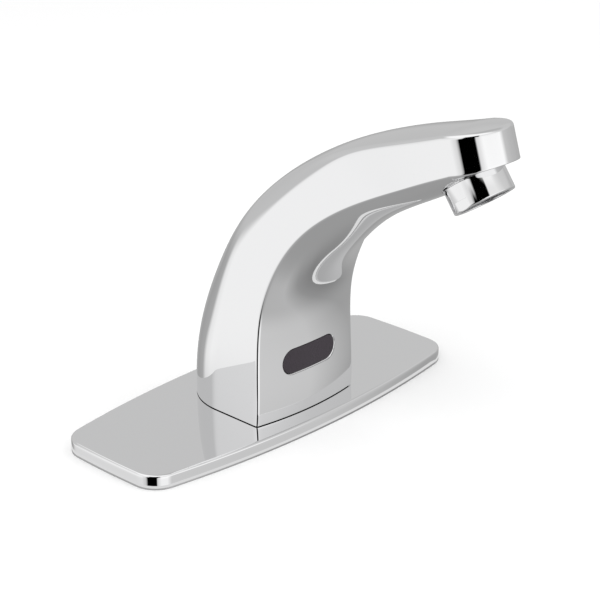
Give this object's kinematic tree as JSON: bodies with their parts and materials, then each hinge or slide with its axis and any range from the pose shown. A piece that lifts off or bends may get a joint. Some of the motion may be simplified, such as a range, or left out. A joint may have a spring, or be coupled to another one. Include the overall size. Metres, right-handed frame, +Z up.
{
  "type": "sensor basin tap",
  "caption": "Deck-mounted touch-free basin tap: arched chrome body leaning over into a short spout with aerator, dark sensor window low in front, oblong cover plate.",
  "frame": {"origin": "middle of the cover plate's underside, on the deck", "axes": "+Z up off the deck; X along the cover plate, and the tap is alike on both sides of X = 0; the spout reaches towards -Y"},
  "size_m": [0.1604, 0.1445, 0.1348],
  "materials": {
    "chrome": "mirror-bright plating",
    "steel": "bright",
    "steel_mesh": "woven wire",
    "rubber": "matt black",
    "brass": "machined",
    "copper": "drawn",
    "white_plastic": "moulded",
    "grey_plastic": "moulded",
    "black_plastic": "moulded",
    "dark_lens": "polished, passes infrared",
    "clear_lens": "clear epoxy",
    "board": "solder mask"
  },
  "bodies": {
    "tap": {"body_shell": "chrome", "cover_plate": "chrome", "locking_screw": "steel", "plate_gasket": "rubber", "lens_gasket": "rubber", "cable_grommet": "rubber", "inlet_seal": "rubber", "base_block": "brass", "check_seat": "white_plastic", "check_guide": "white_plastic", "inlet_filter": "steel_mesh", "valve_body": "grey_plastic", "valve_bonnet": "steel", "valve_screws": "steel", "sensor_screws": "steel", "plunger_spring": "steel", "check_spring": "steel", "coil_bobbin": "black_plastic", "coil_winding": "copper", "coil_yoke": "steel", "coil_nut": "steel", "outlet_tube": "copper", "sensor_lens": "dark_lens", "sensor_housing": "black_plastic", "sensor_board": "board", "emitter": "clear_lens", "receiver": "dark_lens"},
    "check_valve": {"check_poppet": "white_plastic"},
    "servo_piston": {"valve_piston": "white_plastic", "piston_seal": "rubber"},
    "plunger": {"solenoid_plunger": "steel"},
    "aerator_insert": {"aerator_cartridge": "grey_plastic", "aerator_screen": "steel_mesh", "aerator_washer": "rubber"},
    "aerator_ring": {"aerator_shell": "chrome"}
  },
  "joints": [
    {"name": "check_lift", "type": "slide", "parent": "tap", "child": "check_valve", "axis": [0, 0, 1], "range_m": [0, 0.0025], "stiffness_N_per_m": 120, "springref_m": -0.004, "deforming": ["check_spring"]},
    {"name": "plunger_lift", "type": "slide", "parent": "tap", "child": "plunger", "axis": [0, 0, 1], "range_m": [0, 0.002], "stiffness_N_per_m": 150, "springref_m": -0.004, "deforming": ["plunger_spring"]},
    {"name": "piston_lift", "type": "slide", "parent": "tap", "child": "servo_piston", "axis": [0, 0, 1], "range_m": [0, 0.0015]},
    {"name": "aerator_travel", "type": "slide", "parent": "tap", "child": "aerator_insert", "axis": [0, -0.5878, -0.809], "range_m": [0, 0.005]},
    {"name": "aerator_turn", "type": "hinge", "parent": "aerator_insert", "child": "aerator_ring", "pos_m": [0, -0.1029, 0.107], "axis": [0, -0.5878, -0.809], "range_deg": [0, 1800]}
  ],
  "couplings": [
    {"joint": "piston_lift", "follows": "plunger_lift", "ratio": 0.75},
    {"joint": "aerator_turn", "follows": "aerator_travel", "rad_per_m": 6283.2}
  ]
}
